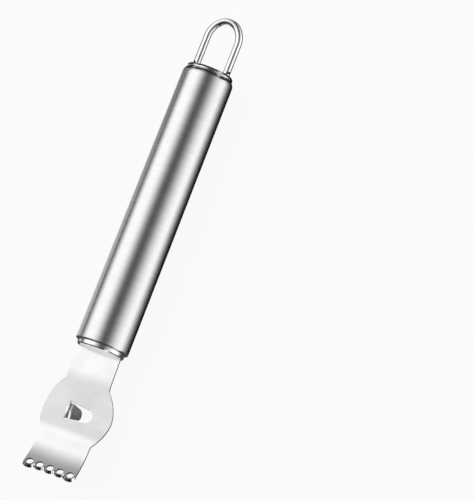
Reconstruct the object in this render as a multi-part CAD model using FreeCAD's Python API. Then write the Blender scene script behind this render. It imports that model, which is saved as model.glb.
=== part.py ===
import FreeCAD, Part

import math
import os

# Citrus zester with a channel knife, a hollow steel handle and a hanging loop.
# Sizes are in millimetres. Each piece is first built about the handle's axis:
# y = 0 is the handle's front rim, the blade runs to -Y and the loop to +Y, and
# the blade's upper face looks to +Z. The finished tool is then laid on z = 0,
# the way it comes to rest on a table.

os.makedirs("parts", exist_ok=True)

# Handle tube
handle_length = 120.4
handle_front_radius = 11.3
handle_rear_radius = 10.9
handle_wall = 0.9
rim_round = 0.7
shoulder_radius = 3.7
shoulder_drop = 1.0

# Hanging loop, bent from round wire
loop_wire_radius = 1.55
loop_leg_height = 15.4
loop_arch_rise = 8.25
loop_top_radius = 5.4
loop_leg_depth = 6.0

# Rear cap, with two holes for the loop's legs
leg_hole_clearance = 0.03
leg_hole_edge_wall = 0.73
cap_seat_clearance = 0.04
cap_spigot_depth = 4.0
cap_height = 2.0
cap_edge_chamfer = 0.5
cap_edge_round = 1.4

# Front plug, slotted for the blade's tang
plug_seat_clearance = 0.05
plug_inner_depth = 6.0
plug_groove_width = 0.35
plug_groove_depth = 1.2
plug_protrusion = 1.9
plug_edge_chamfer = 0.4
slot_clearance = 0.05

# Blade outline, stamped from one sheet whose upper face lies a little below the axis
sheet = 1.3
blade_drop = 0.1
tang_half_width = 7.0
tang_reach = 10.0
shank_root_half_width = 9.1
shank_end_half_width = 9.5
shank_length = 15.9
shoulder_half_width = 10.2
shoulder_step = 0.8
disc_half_width = 14.6
disc_length = 23.2
neck_half_width = 11.05
corner_round = 0.8
neck_round = 2.0

# Blade side view: lengths along the upper face, bends as angles or radii
flat_run = 11.0
dip_bend_run = 5.0
dip_angle = 13.0
dip_run = 10.0
trough_run = 4.0
climb_angle = 20.0
climb_run = 6.5
crest_run = 5.0
crest_angle = 6.0
lip_run = 14.3
lip_radius = 26.0

# Row of zesting holes along the lip, each in its own sharpened ring
hole_count = 5
hole_radius = 1.5
hole_pitch = 4.48
drill_angle = 16.0
ring_radius = 1.8
end_ring_radius = 2.34
ring_flare = 25.0
web_reach = 0.45

# Channel knife: an opening in the disc and the tongue bent out of it
opening_left = 4.6
opening_half_length = 3.83
opening_right = 6.4
opening_end_radius = 2.9
tongue_half_width = 3.15
tongue_tip_radius = 2.4
tongue_length = 6.0
tongue_angle = 57.0
tongue_bend_radius = 0.5

# Reach of the bodies that only cut or trim
cut_reach = 60.0

X = FreeCAD.Vector(1, 0, 0)
Y = FreeCAD.Vector(0, 1, 0)
Z = FreeCAD.Vector(0, 0, 1)
ORIGIN = FreeCAD.Vector(0, 0, 0)


def point(x, y, z=0.0):
    return FreeCAD.Vector(x, y, z)


def line(a, b):
    return Part.LineSegment(a, b).toShape()


def arc(a, middle, b):
    return Part.Arc(a, middle, b).toShape()


def chain(points):
    """Straight edges from each point to the next."""
    return [line(a, b) for a, b in zip(points, points[1:])]


def turned(edges):
    """A solid turned about the handle's axis from a closed profile."""
    return Part.Face(Part.Wire(edges)).revolve(ORIGIN, Y, 360)


# Turned pieces

seam_radius = handle_rear_radius - shoulder_drop
cap_spigot_radius = seam_radius - handle_wall - cap_seat_clearance
leg_hole_radius = loop_wire_radius + leg_hole_clearance
loop_leg_offset = cap_spigot_radius - leg_hole_edge_wall - leg_hole_radius
shoulder_turn = math.acos(1 - shoulder_drop / shoulder_radius)
shoulder_start = handle_length - shoulder_radius * math.sin(shoulder_turn)
taper = (handle_front_radius - handle_rear_radius) / (shoulder_start - rim_round)


def bore_radius(y):
    """Radius of the handle's tapered bore."""
    return handle_front_radius - handle_wall - taper * max(0.0, y - rim_round)


def handle_tube():
    """The hollow handle, tapered to the rear and drawn in at the shoulder, its seam underneath."""
    centre = point(handle_rear_radius - shoulder_radius, shoulder_start)
    half = point(math.cos(shoulder_turn / 2), math.sin(shoulder_turn / 2))
    full = point(math.cos(shoulder_turn), math.sin(shoulder_turn))
    inner = shoulder_radius - handle_wall
    rim_centre = point(handle_front_radius - rim_round, rim_round)
    rim_middle = rim_centre + point(1, -1) * (rim_round / math.sqrt(2))
    rim_outer = point(handle_front_radius, rim_round)
    rim_inner = point(bore_radius(0), 0)
    bore_start = point(bore_radius(0), rim_round)
    outer_start = point(handle_rear_radius, shoulder_start)
    inner_start = point(handle_rear_radius - handle_wall, shoulder_start)
    outer_end = centre + full * shoulder_radius
    inner_end = centre + full * inner
    seat_radius = seam_radius - handle_wall
    seat = [outer_end, point(seat_radius, handle_length), point(seat_radius, inner_end.y), inner_end]
    tube = turned(
        [line(rim_inner, point(rim_centre.x, 0))]
        + [arc(point(rim_centre.x, 0), rim_middle, rim_outer)]
        + [line(rim_outer, outer_start)]
        + [arc(outer_start, centre + half * shoulder_radius, outer_end)]
        + chain(seat)
        + [arc(inner_end, centre + half * inner, inner_start)]
        + chain([inner_start, bore_start, rim_inner])
    )
    tube.rotate(ORIGIN, Y, 90)
    return tube


def rear_cap():
    """The cap pressed into the handle's rear, with a well rounded edge and the loop's two holes."""
    floor = handle_length - cap_spigot_depth
    top = handle_length + cap_height
    round_centre = point(seam_radius - cap_edge_round, top - cap_edge_round)
    round_start = point(seam_radius, round_centre.y)
    round_middle = round_centre + point(1, 1) * (cap_edge_round / math.sqrt(2))
    round_end = point(round_centre.x, top)
    cap = turned(
        chain([
            round_end,
            point(0, top),
            point(0, floor),
            point(cap_spigot_radius, floor),
            point(cap_spigot_radius, handle_length),
            point(seam_radius - cap_edge_chamfer, handle_length),
            point(seam_radius, handle_length + cap_edge_chamfer),
            round_start,
        ])
        + [arc(round_start, round_middle, round_end)]
    )
    for side in (-1, 1):
        start = point(side * loop_leg_offset, floor)
        cap = cap.cut(Part.makeCylinder(leg_hole_radius, cut_reach, start, Y))
    return cap


def front_plug():
    """The polished plug in the handle's mouth, slotted for the blade's tang."""
    body_radius = bore_radius(plug_inner_depth) - plug_seat_clearance
    head_radius = bore_radius(0) - plug_groove_width
    plug = turned(
        chain([
            point(0, -plug_protrusion),
            point(0, plug_inner_depth),
            point(body_radius, plug_inner_depth),
            point(body_radius, plug_groove_depth),
            point(head_radius, plug_groove_depth),
            point(head_radius, plug_edge_chamfer - plug_protrusion),
            point(head_radius - plug_edge_chamfer, -plug_protrusion),
            point(0, -plug_protrusion),
        ])
    )
    slot_floor = -blade_drop - sheet - slot_clearance
    slot = Part.makeBox(
        2 * (tang_half_width + slot_clearance),
        2 * cut_reach,
        sheet + 2 * slot_clearance,
        point(-tang_half_width - slot_clearance, -cut_reach, slot_floor),
    )
    return plug.cut(slot)


# Hanging loop

def loop_half(side):
    """One side of the loop's centre line: the leg, then a wide arc that meets the tight top arc."""
    foot = handle_length - loop_leg_depth
    spring = handle_length + loop_leg_height
    top_height = loop_arch_rise - loop_top_radius
    side_radius = (
        (2 * loop_arch_rise * loop_top_radius - loop_leg_offset ** 2 - loop_arch_rise ** 2)
        / (2 * (loop_top_radius - loop_leg_offset))
    )
    turn = math.atan2(top_height, side_radius - loop_leg_offset)

    def on_arc(radius, centre_x, centre_y, angle):
        return point(
            side * (centre_x + radius * math.cos(angle)), centre_y + radius * math.sin(angle)
        )

    side_centre = loop_leg_offset - side_radius
    joint = on_arc(side_radius, side_centre, spring, turn)
    top_middle = on_arc(loop_top_radius, 0, spring + top_height, (turn + math.pi / 2) / 2)
    return [
        line(point(side * loop_leg_offset, foot), point(side * loop_leg_offset, spring)),
        arc(
            point(side * loop_leg_offset, spring),
            on_arc(side_radius, side_centre, spring, turn / 2),
            joint,
        ),
        arc(joint, top_middle, point(0, spring + loop_arch_rise)),
    ]


def hanging_loop():
    """Round wire: two straight legs and a tall arch, swept in one piece."""
    path = Part.Wire(Part.__sortEdges__(loop_half(-1) + loop_half(1)))
    foot = point(-loop_leg_offset, handle_length - loop_leg_depth)
    section = Part.Wire([Part.makeCircle(loop_wire_radius, foot, Y)])
    return path.makePipeShell([section], True, False)


# Blade

def heading(angle):
    """Direction along the blade towards its tip, at a slope in degrees."""
    a = math.radians(angle)
    return FreeCAD.Vector(0, -math.cos(a), math.sin(a))


def upward(angle):
    """Direction square to the blade's upper face, at a slope in degrees."""
    a = math.radians(angle)
    return FreeCAD.Vector(0, math.sin(a), math.cos(a))


def side_runs():
    """The blade's side view: each run's length and turn, from the tang's end to the hole row."""
    return [
        (tang_reach + flat_run, 0.0),
        (dip_bend_run, -dip_angle),
        (dip_run, 0.0),
        (trough_run, dip_angle + climb_angle),
        (climb_run, 0.0),
        (crest_run, crest_angle - climb_angle),
        (lip_run, math.degrees(lip_run / lip_radius)),
    ]


def follow(start, slope, length, turn):
    """Middle and end of one run along the upper face, and the slopes there."""
    if turn == 0:
        step = heading(slope) * length
        return start + step * 0.5, slope, start + step, slope
    radius = length / math.radians(turn)
    centre = start + upward(slope) * radius
    middle_slope = slope + turn / 2
    middle = centre - upward(middle_slope) * radius
    end = centre - upward(slope + turn) * radius
    return middle, middle_slope, end, slope + turn


def hole_row():
    """Where the row of holes crosses the upper face's centre line, and the slope there."""
    place = point(0, tang_reach, -blade_drop)
    slope = 0.0
    for length, turn in side_runs():
        _, _, place, slope = follow(place, slope, length, turn)
    return place, slope


def bent_strip_profile():
    """The bent sheet seen from the side, run on past the hole row."""
    spare = 2 * end_ring_radius
    runs = side_runs() + [(spare, math.degrees(spare / lip_radius))]
    place = point(0, tang_reach, -blade_drop)
    slope = 0.0
    first = [place, place - upward(slope) * sheet]
    upper = []
    lower = []
    for length, turn in runs:
        middle, middle_slope, end, end_slope = follow(place, slope, length, turn)
        under = [
            place - upward(slope) * sheet,
            middle - upward(middle_slope) * sheet,
            end - upward(end_slope) * sheet,
        ]
        if turn == 0:
            upper.append(line(place, end))
            lower.append(line(under[0], under[2]))
        else:
            upper.append(arc(place, middle, end))
            lower.append(arc(*under))
        place = end
        slope = end_slope
    last = [place, place - upward(slope) * sheet]
    edges = upper + [line(*last)] + lower + [line(*first)]
    return Part.Face(Part.Wire(Part.__sortEdges__(edges)))


def hole_places():
    """Where the holes' centres lie along the row."""
    middle = (hole_count - 1) / 2
    return [(k - middle) * hole_pitch for k in range(hole_count)]


def disc_centre():
    """Where the middle of the disc lies along Y."""
    return -shank_length - shoulder_step - disc_length / 2


def rounded_corners(body, radius, places):
    """Round the body's upright corners that lie at the given places along Y."""
    corners = []
    for edge in body.Edges:
        ends = [vertex.Point for vertex in edge.Vertexes]
        upright = len(ends) == 2 and abs(ends[0].z - ends[1].z) > cut_reach
        if upright and any(abs(ends[0].y - y) < 1e-6 for y in places):
            corners.append(edge)
    return body.makeFillet(radius, corners)


def plan_outline():
    """The blade's outline from above, as an upright body with rounded corners."""
    rear = -plug_protrusion - slot_clearance
    disc_start = -shank_length - shoulder_step
    disc_end = disc_start - disc_length
    lip_half_width = hole_places()[-1] + end_ring_radius
    row, _ = hole_row()
    tip = row.y - cut_reach
    half = [
        [point(tang_half_width, tang_reach), point(tang_half_width, rear)],
        [point(tang_half_width, rear), point(shank_root_half_width, rear)],
        [point(shank_root_half_width, rear), point(shank_end_half_width, -shank_length)],
        [point(shank_end_half_width, -shank_length), point(shoulder_half_width, disc_start)],
        [
            point(shoulder_half_width, disc_start),
            point(disc_half_width, disc_centre()),
            point(neck_half_width, disc_end),
        ],
        [point(neck_half_width, disc_end), point(lip_half_width, row.y)],
        [point(lip_half_width, row.y), point(lip_half_width, tip)],
    ]
    edges = []
    for side in (1, -1):
        for points in half:
            placed = [point(side * p.x, p.y) for p in points]
            edges.append(line(*placed) if len(placed) == 2 else arc(*placed))
    edges.append(line(point(-tang_half_width, tang_reach), point(tang_half_width, tang_reach)))
    edges.append(line(point(-lip_half_width, tip), point(lip_half_width, tip)))
    face = Part.Face(Part.Wire(Part.__sortEdges__(edges)))
    body = face.extrude(Z * 2 * cut_reach)
    body.translate(Z * -cut_reach)
    body = rounded_corners(body, corner_round, (-shank_length, disc_start))
    return rounded_corners(body, neck_round, (disc_end,))


def row_placement():
    """A frame at the hole row: x across the blade, y back up it, z square to it."""
    row, slope = hole_row()
    return FreeCAD.Placement(row, FreeCAD.Rotation(X, -slope))


def lip_end():
    """What the sharpened end keeps: the blade up to the row, a web, and a ring round each hole."""
    places = hole_places()
    kept = Part.makeBox(
        2 * cut_reach, 2 * cut_reach, 2 * cut_reach, point(-cut_reach, 0, -cut_reach)
    )
    web = Part.makeBox(
        places[-1] - places[0], 2 * web_reach, 2 * cut_reach, point(places[0], -web_reach, -cut_reach)
    )
    kept = kept.fuse(web)
    above = sheet
    below = 2 * sheet
    spread = math.tan(math.radians(ring_flare))
    for place in places:
        radius = end_ring_radius if place in (places[0], places[-1]) else ring_radius
        ring = Part.makeCone(
            radius + below * spread,
            radius - above * spread,
            above + below,
            point(place, 0, -below),
        )
        kept = kept.fuse(ring)
    kept.Placement = row_placement()
    return kept


def hole_cutters():
    """Drills for the row of holes, leaned so that each ring's rim comes out round and thin."""
    row, _ = hole_row()
    lean = upward(drill_angle)
    drills = []
    for place in hole_places():
        start = row + X * place - lean * 2 * sheet
        drills.append(Part.makeCylinder(hole_radius, 4 * sheet, start, lean))
    return drills


def bullet_prism(root_half_width, length, end_radius):
    """An upright body: root on x = 0, two flanks that close in on a round end at x = length."""
    end_x = length - end_radius
    reach = math.hypot(end_x, root_half_width)
    flank = math.acos(end_radius / reach) - math.atan2(end_x, root_half_width)
    touch_x = end_x + end_radius * math.sin(flank)
    touch_y = end_radius * math.cos(flank)
    wire = Part.Wire([
        line(point(0, -root_half_width), point(0, root_half_width)),
        line(point(0, root_half_width), point(touch_x, touch_y)),
        arc(point(touch_x, touch_y), point(length, 0), point(touch_x, -touch_y)),
        line(point(touch_x, -touch_y), point(0, -root_half_width)),
    ])
    prism = Part.Face(wire).extrude(Z * 2 * cut_reach)
    prism.translate(Z * -cut_reach)
    return prism


def opening_cutter():
    """The channel knife's opening, from the tongue's hinge line to its round end."""
    cutter = bullet_prism(opening_half_length, opening_left + opening_right, opening_end_radius)
    cutter.translate(point(-opening_left, disc_centre()))
    return cutter


def tongue(strip_profile):
    """The tongue: the sheet at the hinge line, bent down about it and run on to a round tip."""
    window = Part.makeBox(
        sheet,
        2 * tongue_half_width,
        2 * cut_reach,
        point(-sheet / 2, disc_centre() - tongue_half_width, -cut_reach),
    )
    section = strip_profile.common(window)
    section.translate(X * -opening_left)
    pivot = point(-opening_left, disc_centre(), section.BoundBox.ZMin - tongue_bend_radius)
    bend = section.revolve(pivot, Y, tongue_angle)
    section.rotate(pivot, Y, tongue_angle)
    turn = FreeCAD.Rotation(Y, tongue_angle)
    straight = section.extrude(turn.multVec(X) * tongue_length)
    outline = bullet_prism(tongue_half_width, tongue_length, tongue_tip_radius)
    outline.Placement = FreeCAD.Placement(pivot, turn).multiply(outline.Placement)
    return [bend, straight.common(outline)]


def zester_blade():
    """The one-piece blade: tang, shank, disc with channel knife, neck and curled lip."""
    profile = bent_strip_profile()
    strip = profile.extrude(X * 2 * cut_reach)
    strip.translate(X * -cut_reach)
    blade = strip.common(plan_outline())
    blade = blade.common(lip_end())
    blade = blade.cut(hole_cutters())
    blade = blade.cut(opening_cutter())
    for piece in tongue(profile):
        blade = blade.fuse(piece)
    return blade.removeSplitter()


# The finished tool, laid down on its tapered underside

def laid_down(shapes):
    """Tip the tool by its taper, lift it to z = 0 and centre it along Y."""
    tip = math.degrees(math.atan(taper))
    for shape in shapes.values():
        shape.rotate(point(0, rim_round, -handle_front_radius), X, -tip)
    everything = Part.makeCompound(list(shapes.values()))
    box = everything.optimalBoundingBox(False)
    shift = point(0, -0.5 * (box.YMin + box.YMax), handle_front_radius)
    for shape in shapes.values():
        shape.translate(shift)
    return shapes


tool = laid_down({
    "handle_tube": handle_tube(),
    "front_plug": front_plug(),
    "rear_cap": rear_cap(),
    "hanging_loop": hanging_loop(),
    "zester_blade": zester_blade(),
})

for name, shape in tool.items():
    shape.exportStep(f"parts/{name}.step")
    box = shape.optimalBoundingBox(False)
    print(
        f"{name}: valid {shape.isValid()}, solids {len(shape.Solids)}, "
        f"volume {shape.Volume:.1f}, x {box.XMin:.2f} to {box.XMax:.2f}, "
        f"y {box.YMin:.2f} to {box.YMax:.2f}, z {box.ZMin:.2f} to {box.ZMax:.2f}"
    )
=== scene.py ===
import logging
import math
from dataclasses import dataclass
from enum import Enum

import bpy
from mathutils import Matrix, Vector


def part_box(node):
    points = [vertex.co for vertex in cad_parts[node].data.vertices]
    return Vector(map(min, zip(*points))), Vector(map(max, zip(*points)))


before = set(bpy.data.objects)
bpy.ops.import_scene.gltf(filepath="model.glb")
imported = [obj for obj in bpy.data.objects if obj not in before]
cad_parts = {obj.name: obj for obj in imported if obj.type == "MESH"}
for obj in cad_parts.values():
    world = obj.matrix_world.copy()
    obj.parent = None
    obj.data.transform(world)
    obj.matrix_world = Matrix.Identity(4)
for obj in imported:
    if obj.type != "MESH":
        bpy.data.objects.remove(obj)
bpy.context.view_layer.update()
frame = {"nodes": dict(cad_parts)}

# Looks of a steel citrus zester that lies on a pale table: the finishes of its five
# pieces, the studio's light and floor, and the camera. Lengths are in metres, and only
# the studio's cards are placed in millimetres.

LOG = logging.getLogger("citrus_zester")
IMAGE_WIDTH = 475
IMAGE_HEIGHT = 500
MM = 0.001
QUARTER_TURN = math.radians(90)
WHITE = (1.0, 1.0, 1.0, 1.0)

# Noise gives values about its middle, and nearly all of them lie in this span
NOISE_SPAN = (0.3, 0.7)
NOISE_MIDDLE = 0.5


class Axis(Enum):
    """An axis of the frame that a pattern, a fade or a card's thickness runs along."""

    X = 0
    Y = 1
    Z = 2


class Shade:
    """A number from one socket of a node tree, with arithmetic that adds its nodes."""

    def __init__(self, tree: bpy.types.NodeTree, socket: bpy.types.NodeSocket) -> None:
        """Keep the tree and the socket that gives the number."""
        self.tree = tree
        self.socket = socket

    def _math(self, operation: str, *values: "Shade | float") -> "Shade":
        """Add a Math node.

        Args:
            operation: The node's operation.
            values: Its inputs, in order, as shades or plain numbers.

        Returns:
            The node's result.
        """
        node = self.tree.nodes.new("ShaderNodeMath")
        node.operation = operation
        for socket, value in zip(node.inputs, values):
            if isinstance(value, Shade):
                self.tree.links.new(value.socket, socket)
            else:
                socket.default_value = value
        return Shade(self.tree, node.outputs[0])

    def __add__(self, other: "Shade | float") -> "Shade":
        """Sum."""
        return self._math("ADD", self, other)

    def __radd__(self, other: float) -> "Shade":
        """Sum with a number on the left."""
        return self._math("ADD", other, self)

    def __sub__(self, other: "Shade | float") -> "Shade":
        """Difference."""
        return self._math("SUBTRACT", self, other)

    def __rsub__(self, other: float) -> "Shade":
        """Difference from a number on the left."""
        return self._math("SUBTRACT", other, self)

    def __mul__(self, other: "Shade | float") -> "Shade":
        """Product."""
        return self._math("MULTIPLY", self, other)

    def __rmul__(self, other: float) -> "Shade":
        """Product with a number on the left."""
        return self._math("MULTIPLY", other, self)

    def angle_from(self, along: "Shade") -> "Shade":
        """Angle of the point (along, self) about the origin, in radians."""
        return self._math("ARCTAN2", self, along)

    def largest(self, other: "Shade | float") -> "Shade":
        """The larger of two numbers."""
        return self._math("MAXIMUM", self, other)

    def rise(self, low: float, high: float) -> "Shade":
        """A smooth step from 0 at low to 1 at high.

        Args:
            low: Where the step leaves 0.
            high: Where it reaches 1. It may lie below low.

        Returns:
            The step, between 0 and 1.
        """
        node = self.tree.nodes.new("ShaderNodeMapRange")
        node.interpolation_type = "SMOOTHSTEP"
        node.inputs["From Min"].default_value = min(low, high)
        node.inputs["From Max"].default_value = max(low, high)
        self.tree.links.new(self.socket, node.inputs["Value"])
        step = Shade(self.tree, node.outputs[0])
        return step if low < high else 1 - step


class Nodes:
    """One node tree and the way to add nodes to it."""

    def __init__(self, owner: "bpy.types.Material | bpy.types.World") -> None:
        """Empty the owner's node tree and keep it."""
        owner.use_nodes = True
        self.tree = owner.node_tree
        self.tree.nodes.clear()

    def add(
        self,
        kind: str,
        settings: "dict[str, object] | None" = None,
        inputs: "dict[str | int, object] | None" = None,
    ) -> bpy.types.Node:
        """Add one node.

        Args:
            kind: The node's type, without the ShaderNode in front.
            settings: Attributes to set first, such as a noise's dimensions.
            inputs: Values, shades or sockets for its inputs, by name or number.

        Returns:
            The node.
        """
        node = self.tree.nodes.new("ShaderNode" + kind)
        for name, value in (settings or {}).items():
            setattr(node, name, value)
        for name, value in (inputs or {}).items():
            if isinstance(value, Shade):
                self.tree.links.new(value.socket, node.inputs[name])
            elif isinstance(value, bpy.types.NodeSocket):
                self.tree.links.new(value, node.inputs[name])
            else:
                node.inputs[name].default_value = value
        return node

    def shade(self, socket: bpy.types.NodeSocket) -> Shade:
        """A socket as a number that arithmetic works on."""
        return Shade(self.tree, socket)

    def axes(self, vector: bpy.types.NodeSocket) -> "list[Shade]":
        """The three parts of a vector."""
        parts = self.add("SeparateXYZ", inputs={"Vector": vector})
        return [self.shade(socket) for socket in parts.outputs]

    def place(self) -> "list[Shade]":
        """The shaded point in the object's own coordinates, in metres."""
        return self.axes(self.add("TexCoord").outputs["Object"])

    def streaks(self, per_metre: "tuple[float, float, float]", detail: float) -> Shade:
        """Noise with its own grain along each axis.

        Args:
            per_metre: How many grains lie on a metre along X, Y and Z.
            detail: How many finer layers the noise has.

        Returns:
            The noise, about 0 to 1.
        """
        place = self.add("TexCoord").outputs["Object"]
        stretched = self.add(
            "VectorMath", {"operation": "MULTIPLY"}, {0: place, 1: per_metre}
        )
        noise = self.add(
            "TexNoise",
            {"noise_dimensions": "3D"},
            {"Vector": stretched.outputs[0], "Scale": 1.0, "Detail": detail},
        )
        return self.shade(noise.outputs[0])

    def blend(
        self,
        factor: Shade,
        low: "tuple[float, float, float]",
        high: "tuple[float, float, float]",
    ) -> bpy.types.NodeSocket:
        """A colour that goes from low to high with a factor."""
        mix = self.add("Mix", {"data_type": "RGBA"}, {0: factor, 6: (*low, 1.0), 7: (*high, 1.0)})
        return mix.outputs[2]


@dataclass(frozen=True)
class BrushedSteel:
    """Satin steel with fine lines brushed round the Y axis and wider, fainter bands."""

    name: str
    dark: "tuple[float, float, float]"
    pale: "tuple[float, float, float]"
    roughness: float
    roughness_spread: float
    line_pitch: float
    line_length: float
    line_depth: float
    band_pitch: float
    line_detail: float = 3.0
    band_detail: float = 2.0
    line_share: float = 0.6

    def material(self) -> bpy.types.Material:
        """Make the finish.

        Returns:
            The material, for a piece whose brushing runs round the Y axis.
        """
        made = bpy.data.materials.new(self.name)
        nodes = Nodes(made)
        along = 1 / self.line_length
        lines = nodes.streaks((along, 1 / self.line_pitch, along), self.line_detail)
        bands = nodes.streaks((along, 1 / self.band_pitch, along), self.band_detail)
        tone = (lines * self.line_share + bands * (1 - self.line_share)).rise(*NOISE_SPAN)
        relief = nodes.add(
            "Bump",
            inputs={"Height": lines, "Strength": 1.0, "Distance": self.line_depth},
        )
        shader = nodes.add(
            "BsdfPrincipled",
            inputs={
                "Base Color": nodes.blend(tone, self.dark, self.pale),
                "Metallic": 1.0,
                "Roughness": self.roughness + (bands - NOISE_MIDDLE) * self.roughness_spread,
                "Normal": relief.outputs[0],
            },
        )
        nodes.add("OutputMaterial", inputs={"Surface": shader.outputs[0]})
        return made


@dataclass(frozen=True)
class PolishedSteel:
    """Buffed steel with cloudy tones and faint wipe marks in its relief."""

    name: str
    dark: "tuple[float, float, float]"
    pale: "tuple[float, float, float]"
    roughness: float
    roughness_spread: float
    mark_pitch: float
    mark_length: float
    mark_depth: float
    grain: Axis
    detail: float = 2.0

    def material(self) -> bpy.types.Material:
        """Make the finish.

        Returns:
            The material, with its wipe marks drawn out across the grain's axis.
        """
        made = bpy.data.materials.new(self.name)
        nodes = Nodes(made)
        rates = [1 / self.mark_length] * len(Axis)
        cloud_rates = tuple(rates)
        rates[self.grain.value] = 1 / self.mark_pitch
        marks = nodes.streaks(tuple(rates), self.detail)
        clouds = nodes.streaks(cloud_rates, self.detail)
        relief = nodes.add(
            "Bump",
            inputs={"Height": marks, "Strength": 1.0, "Distance": self.mark_depth},
        )
        shader = nodes.add(
            "BsdfPrincipled",
            inputs={
                "Base Color": nodes.blend(clouds.rise(*NOISE_SPAN), self.dark, self.pale),
                "Metallic": 1.0,
                "Roughness": self.roughness + (clouds - NOISE_MIDDLE) * self.roughness_spread,
                "Normal": relief.outputs[0],
            },
        )
        nodes.add("OutputMaterial", inputs={"Surface": shader.outputs[0]})
        return made


def dress(node: bpy.types.Object, material: bpy.types.Material) -> None:
    """Give a CAD node its finish.

    Args:
        node: The node's object. Its mesh stays as it is.
        material: The finish for every slot that it has.
    """
    if not node.material_slots:
        node.data.materials.append(material)
    for slot in node.material_slots:
        slot.material = material
    LOG.info("%s wears %s", node.name, material.name)


@dataclass
class Handle:
    """The satin handle tube, with its polished front plug and rear cap."""

    tube: bpy.types.Object
    plug: bpy.types.Object
    cap: bpy.types.Object
    satin: BrushedSteel = BrushedSteel(
        name="satin_handle_steel",
        dark=(0.57, 0.57, 0.575),
        pale=(0.63, 0.63, 0.635),
        roughness=0.22,
        roughness_spread=0.08,
        line_pitch=0.16 * MM,
        line_length=9 * MM,
        line_depth=0.0012 * MM,
        band_pitch=1.4 * MM,
    )
    polish: PolishedSteel = PolishedSteel(
        name="polished_fitting_steel",
        dark=(0.66, 0.66, 0.665),
        pale=(0.76, 0.76, 0.765),
        roughness=0.13,
        roughness_spread=0.05,
        mark_pitch=0.3 * MM,
        mark_length=5 * MM,
        mark_depth=0.0004 * MM,
        grain=Axis.Y,
    )

    def finish(self) -> None:
        """Dress the tube, the plug and the cap."""
        dress(self.tube, self.satin.material())
        polished = self.polish.material()
        dress(self.plug, polished)
        dress(self.cap, polished)


@dataclass
class HangingLoop:
    """The bright wire loop at the handle's rear."""

    wire: bpy.types.Object
    polish: PolishedSteel = PolishedSteel(
        name="bright_loop_wire",
        dark=(0.72, 0.72, 0.725),
        pale=(0.82, 0.82, 0.825),
        roughness=0.07,
        roughness_spread=0.04,
        mark_pitch=0.4 * MM,
        mark_length=6 * MM,
        mark_depth=0.0005 * MM,
        grain=Axis.X,
    )

    def finish(self) -> None:
        """Dress the wire."""
        dress(self.wire, self.polish.material())


@dataclass
class Blade:
    """The polished blade of bent sheet."""

    sheet: bpy.types.Object
    polish: PolishedSteel = PolishedSteel(
        name="polished_blade_steel",
        dark=(0.88, 0.88, 0.885),
        pale=(0.94, 0.94, 0.945),
        roughness=0.12,
        roughness_spread=0.05,
        mark_pitch=0.25 * MM,
        mark_length=8 * MM,
        mark_depth=0.0004 * MM,
        grain=Axis.X,
    )

    def finish(self) -> None:
        """Dress the sheet."""
        dress(self.sheet, self.polish.material())


@dataclass
class Floor:
    """The pale table, mostly white to the camera and to reflections, with a faint shadow."""

    half_size: float = 3.0
    tone: float = 0.95
    glow: float = 0.92

    def build(self) -> bpy.types.Object:
        """Make the floor.

        Returns:
            The floor's object.
        """
        bpy.ops.object.select_all(action="DESELECT")
        bpy.ops.mesh.primitive_plane_add(size=2 * self.half_size, location=(0, 0, 0))
        floor = bpy.context.object
        floor.name = "pale_floor"
        made = bpy.data.materials.new("pale_table")
        nodes = Nodes(made)
        path = nodes.add("LightPath").outputs
        seen = nodes.shade(path["Is Camera Ray"]).largest(nodes.shade(path["Is Glossy Ray"]))
        seen = seen.largest(nodes.shade(path["Is Transmission Ray"]))
        matt = nodes.add("BsdfDiffuse", inputs={"Color": (self.tone, self.tone, self.tone, 1.0)})
        glow = nodes.add("Emission", inputs={"Color": WHITE, "Strength": 1.0})
        both = nodes.add(
            "MixShader", inputs={0: seen * self.glow, 1: matt.outputs[0], 2: glow.outputs[0]}
        )
        nodes.add("OutputMaterial", inputs={"Surface": both.outputs[0]})
        floor.data.materials.append(made)
        return floor


@dataclass(frozen=True)
class Span:
    """A stretch along one axis, in millimetres."""

    low: float
    high: float

    def start(self) -> float:
        """Its low end, in metres."""
        return self.low * MM

    def length(self) -> float:
        """Its length, in metres."""
        return (self.high - self.low) * MM

    def middle(self) -> float:
        """Its middle, in metres."""
        return self.start() + 0.5 * self.length()


def level(at: float) -> Span:
    """The span of a card along the axis that it has no thickness on."""
    return Span(at, at)


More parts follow.
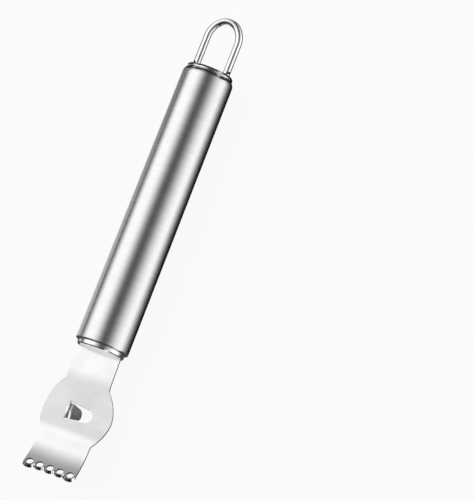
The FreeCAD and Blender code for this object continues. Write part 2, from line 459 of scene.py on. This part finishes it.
@dataclass(frozen=True)
class StudioCard:
    """A flat card that only reflections show: white to brighten, dark to draw an edge or to stand on
    the floor as a painted shadow of the tool.

    Its strength, where 1 is white, may go over to far_strength along one axis.
    """

    name: str
    x: Span
    y: Span
    z: Span
    strength: float
    far_strength: "float | None" = None
    fade_along: Axis = Axis.X

    def build(self) -> bpy.types.Object:
        """Make the card.

        Returns:
            The card's object.
        """
        spans = (self.x, self.y, self.z)
        width, depth, height = [span.length() for span in spans]
        turn, scale = {
            Axis.X: ((0.0, QUARTER_TURN, 0.0), (height, depth, 1.0)),
            Axis.Y: ((QUARTER_TURN, 0.0, 0.0), (width, height, 1.0)),
            Axis.Z: ((0.0, 0.0, 0.0), (width, depth, 1.0)),
        }[Axis((width, depth, height).index(0.0))]
        bpy.ops.object.select_all(action="DESELECT")
        centre = [span.middle() for span in spans]
        bpy.ops.mesh.primitive_plane_add(size=1.0, location=centre, rotation=turn)
        card = bpy.context.object
        card.name = self.name
        card.scale = scale
        bpy.ops.object.transform_apply(location=True, rotation=True, scale=True)
        made = bpy.data.materials.new(self.name + "_face")
        nodes = Nodes(made)
        strength: "Shade | float" = self.strength
        if self.far_strength is not None:
            along = spans[self.fade_along.value]
            place = nodes.place()[self.fade_along.value]
            fade = place.rise(along.start(), along.start() + along.length())
            strength = self.strength + fade * (self.far_strength - self.strength)
        glow = nodes.add("Emission", inputs={"Strength": strength})
        nodes.add("OutputMaterial", inputs={"Surface": glow.outputs[0]})
        card.data.materials.append(made)
        card.visible_camera = False
        card.visible_diffuse = False
        card.visible_shadow = False
        card.visible_transmission = False
        card.visible_volume_scatter = False
        return card


@dataclass
class EdgeCards:
    """The cards that draw the steel's bright and dark edges, some of them a painted shadow of the
    tool on the floor, in millimetres.

    The first three fields are where those parts of the tool lie along Y. Cards on the
    floor lie at three heights, so that where two cross, the higher shows.
    """

    handle_front: float
    cap_end: float
    blade_tip: float
    grey_inside_rim: float = 0.5
    grey_past_cap: float = 42.0
    flag_inside_tip: float = 1.1
    blade_shadow_inside_rim: float = 2.5
    seam_card_gap: float = 2.0
    loop_flag_gap: float = 0.5
    loop_flag_length: float = 24.0
    low: Span = level(0.2)
    middle: Span = level(0.4)
    high: Span = level(0.6)
    beside_tool: Span = Span(-600.0, 600.0)
    before_handle: Span = Span(-100.0, 100.0)
    black: float = 0.02

    def for_handle(self) -> "list[StudioCard]":
        """The cards left and right of the tool and under it, which the handle's sides show; the dark
        ones under it and just right of it are a painted shadow of the tool on the floor.
        """
        grey_start = self.handle_front + self.grey_inside_rim
        grey_length = Span(grey_start, self.cap_end + self.grey_past_cap)
        return [
            StudioCard(
                "right_white_card", level(70.0), self.beside_tool, Span(0.0, 35.0), strength=1.55
            ),
            # Painted shadow: a card on the floor right of the tool, black next to it and paling
            # outwards, stands for the tool's shadow there and gives the handle's right side its dark
            # edge in reflection.
            StudioCard(
                "right_shadow_flag", Span(14.0, 48.0), self.beside_tool, self.middle,
                strength=0.0, far_strength=0.9,
            ),
            # Painted shadow: a black card on the floor under the handle stands for the handle's
            # shadow there, which the handle's lower side reflects.
            StudioCard(
                "under_handle_shadow_flag", Span(4.0, 14.0), self.beside_tool, self.middle, strength=0.0
            ),
            StudioCard(
                "left_dark_flag", Span(-620.0, -80.0), self.beside_tool, self.middle, strength=0.12
            ),
            StudioCard(
                "left_grey_flag", Span(-70.0, -25.0), grey_length, self.middle,
                strength=0.7, far_strength=0.2, fade_along=Axis.Y,
            ),
        ]

    def for_front(self) -> "list[StudioCard]":
        """The flags that darken the front rim, the plug's edge and the sheet's right edge, the one
        under the blade as a painted shadow of the blade on the floor.
        """
        under_lip = self.blade_tip + self.flag_inside_tip
        far_front = Span(-400.0, under_lip)
        under_blade = Span(under_lip, self.handle_front + self.blade_shadow_inside_rim)
        return [
            StudioCard("front_dark_flag", self.before_handle, far_front, self.high, strength=0.06),
            # Painted shadow: a near-black card on the floor under the blade stands for the blade's
            # shadow there, which the steel above it reflects.
            StudioCard("under_blade_shadow_flag", self.before_handle, under_blade, self.high, strength=0.1),
        ]

    def for_rear(self) -> "list[StudioCard]":
        """The cards close behind the cap that draw the dark seam round it."""
        behind_cap = level(self.cap_end + self.seam_card_gap)
        loop_start = self.cap_end + self.loop_flag_gap
        beside_loop = Span(loop_start, loop_start + self.loop_flag_length)
        behind_tool = Span(300.0, 2900.0)
        return [
            StudioCard("rear_floor_flag", Span(-300.0, 300.0), behind_tool, self.low, strength=0.1),
            StudioCard(
                "rear_middle_card", Span(-9.0, 9.0), behind_cap, Span(19.0, 23.5), self.black
            ),
            StudioCard(
                "rear_left_card", Span(-16.5, -9.0), behind_cap, Span(0.0, 19.0), self.black
            ),
            StudioCard(
                "rear_right_card", Span(9.0, 14.5), behind_cap, Span(0.0, 20.5), self.black
            ),
            StudioCard("rear_left_flag", Span(-30.0, -8.0), beside_loop, self.high, strength=0.1),
        ]

    def for_blade(self) -> "list[StudioCard]":
        """The cards over the disc's bend, apart over the tongue, and the tongue's own."""
        over_bend = Span(-73.5, -64.5)
        above_disc = level(12.0)
        return [
            StudioCard(
                "left_trough_card", Span(-20.0, -6.6), over_bend, above_disc, strength=0.81
            ),
            StudioCard(
                "right_trough_card", Span(3.6, 14.0), over_bend, above_disc, strength=0.81
            ),
            StudioCard(
                "tongue_flag", level(18.0), Span(-82.0, -64.0), Span(0.0, 30.0), strength=0.15
            ),
        ]

    def build(self) -> None:
        """Make all the cards."""
        cards = self.for_handle() + self.for_front() + self.for_rear() + self.for_blade()
        for card in cards:
            card.build()
            LOG.info("%s stands in the studio", card.name)


@dataclass(frozen=True)
class Fade:
    """A loss of light by its direction along Y, from -1 at the tip's side to 1 at the loop's.

    The loss begins at start and is whole at end, where only share is left.
    """

    start: float
    end: float
    share: float

    def left_over(self, y: Shade) -> Shade:
        """How much of the light from a direction is left."""
        return 1 - y.rise(self.start, self.end) * (1 - self.share)


@dataclass
class StudioLight:
    """Two wide softboxes, left and right of the camera, as the world's light.

    Their edges are angles round the tool's length, in degrees from straight up, with the
    right side positive. Each fade is named for the part of the steel that shows it.
    """

    darkness: float = 0.17
    left_strength: float = 1.9
    right_strength: float = 1.62
    left_near_edge: "tuple[float, float]" = (12.0, -38.0)
    left_far_edge: "tuple[float, float]" = (-96.0, -64.0)
    right_edge: "tuple[float, float]" = (20.0, 80.0)
    lip_fade: Fade = Fade(0.45, 0.97, 0.21)
    crest_fade: Fade = Fade(0.16, 0.4, 0.94)
    dip_fade: Fade = Fade(0.15, -0.31, 0.755)
    rim_fade: Fade = Fade(-0.33, -0.47, 0.06)

    def build(self) -> None:
        """Make the world's light and the white that the camera sees behind the floor."""
        world = bpy.data.worlds.new("softbox_studio")
        bpy.context.scene.world = world
        nodes = Nodes(world)
        x, y, z = nodes.axes(nodes.add("TexCoord").outputs["Generated"])
        side = x.angle_from(z) * math.degrees(1)
        left = side.rise(*self.left_near_edge) * side.rise(*self.left_far_edge)
        right = side.rise(*self.right_edge)
        sky = self.darkness + left * self.left_strength + right * self.right_strength
        fades = self.lip_fade.left_over(y) * self.crest_fade.left_over(y)
        fades = fades * self.dip_fade.left_over(y) * self.rim_fade.left_over(y)
        path = nodes.add("LightPath").outputs
        seen = nodes.shade(path["Is Camera Ray"]).largest(nodes.shade(path["Is Transmission Ray"]))
        strength = seen + (1 - seen) * sky * fades
        background = nodes.add("Background", inputs={"Strength": strength})
        nodes.add("OutputWorld", inputs={"Surface": background.outputs[0]})


@dataclass
class PhotoCamera:
    """The camera at the photograph's angle, framing and scale.

    It leans from straight above to the tool's right and towards the blade's tip, in
    degrees, and rolls about its own axis.
    """

    lean_right: float = 15.0
    lean_to_tip: float = 8.6
    roll: float = 21.32
    metres_per_pixel: float = 0.405 * MM
    distance: float = 2.0
    clip_distance: float = 8.0
    sensor: float = 36.0
    rim_pixel: "tuple[float, float]" = (101.6, 347.5)

    def build(self, rim: Vector) -> bpy.types.Object:
        """Make the scene's camera.

        Args:
            rim: The middle of the handle's front rim, which falls on rim_pixel.

        Returns:
            The camera's object.
        """
        right_lean = math.radians(self.lean_right)
        tip_lean = math.radians(self.lean_to_tip)
        back = Vector(
            (
                math.sin(right_lean),
                -math.sin(tip_lean) * math.cos(right_lean),
                math.cos(tip_lean) * math.cos(right_lean),
            )
        )
        along = (Vector((0, 1, 0)) - back * back.y).normalized()
        across = along.cross(back)
        roll = math.radians(self.roll)
        right = across * math.cos(roll) + along * math.sin(roll)
        up = along * math.cos(roll) - across * math.sin(roll)
        aim = rim + right * ((IMAGE_WIDTH / 2 - self.rim_pixel[0]) * self.metres_per_pixel)
        aim += up * ((self.rim_pixel[1] - IMAGE_HEIGHT / 2) * self.metres_per_pixel)
        data = bpy.data.cameras.new("photo_camera")
        data.sensor_width = self.sensor
        data.lens = self.distance * self.sensor / (self.metres_per_pixel * IMAGE_HEIGHT)
        data.clip_end = self.clip_distance
        camera = bpy.data.objects.new("photo_camera", data)
        bpy.context.scene.collection.objects.link(camera)
        turn = Matrix((right, up, back)).transposed().to_4x4()
        camera.matrix_world = Matrix.Translation(aim + back * self.distance) @ turn
        bpy.context.scene.camera = camera
        return camera


def front_rim_centre() -> Vector:
    """The middle of the handle's front rim, from the tube's box."""
    low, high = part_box("handle_tube")
    return Vector(((low.x + high.x) / 2, low.y, (low.z + high.z) / 2))


def edge_cards() -> EdgeCards:
    """The studio's cards, placed by the handle's front, the cap's end and the blade's tip."""
    handle_low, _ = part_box("handle_tube")
    _, cap_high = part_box("rear_cap")
    blade_low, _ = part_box("zester_blade")
    return EdgeCards(handle_low.y / MM, cap_high.y / MM, blade_low.y / MM)


def main() -> None:
    """Dress the zester, light it and aim the camera."""
    nodes = frame["nodes"]
    Handle(nodes["handle_tube"], nodes["front_plug"], nodes["rear_cap"]).finish()
    HangingLoop(nodes["hanging_loop"]).finish()
    Blade(nodes["zester_blade"]).finish()
    Floor().build()
    edge_cards().build()
    StudioLight().build()
    PhotoCamera().build(front_rim_centre())
    bpy.context.scene.view_settings.view_transform = "Standard"


if __name__ == "__main__":
    logging.basicConfig(level=logging.INFO)
    main()
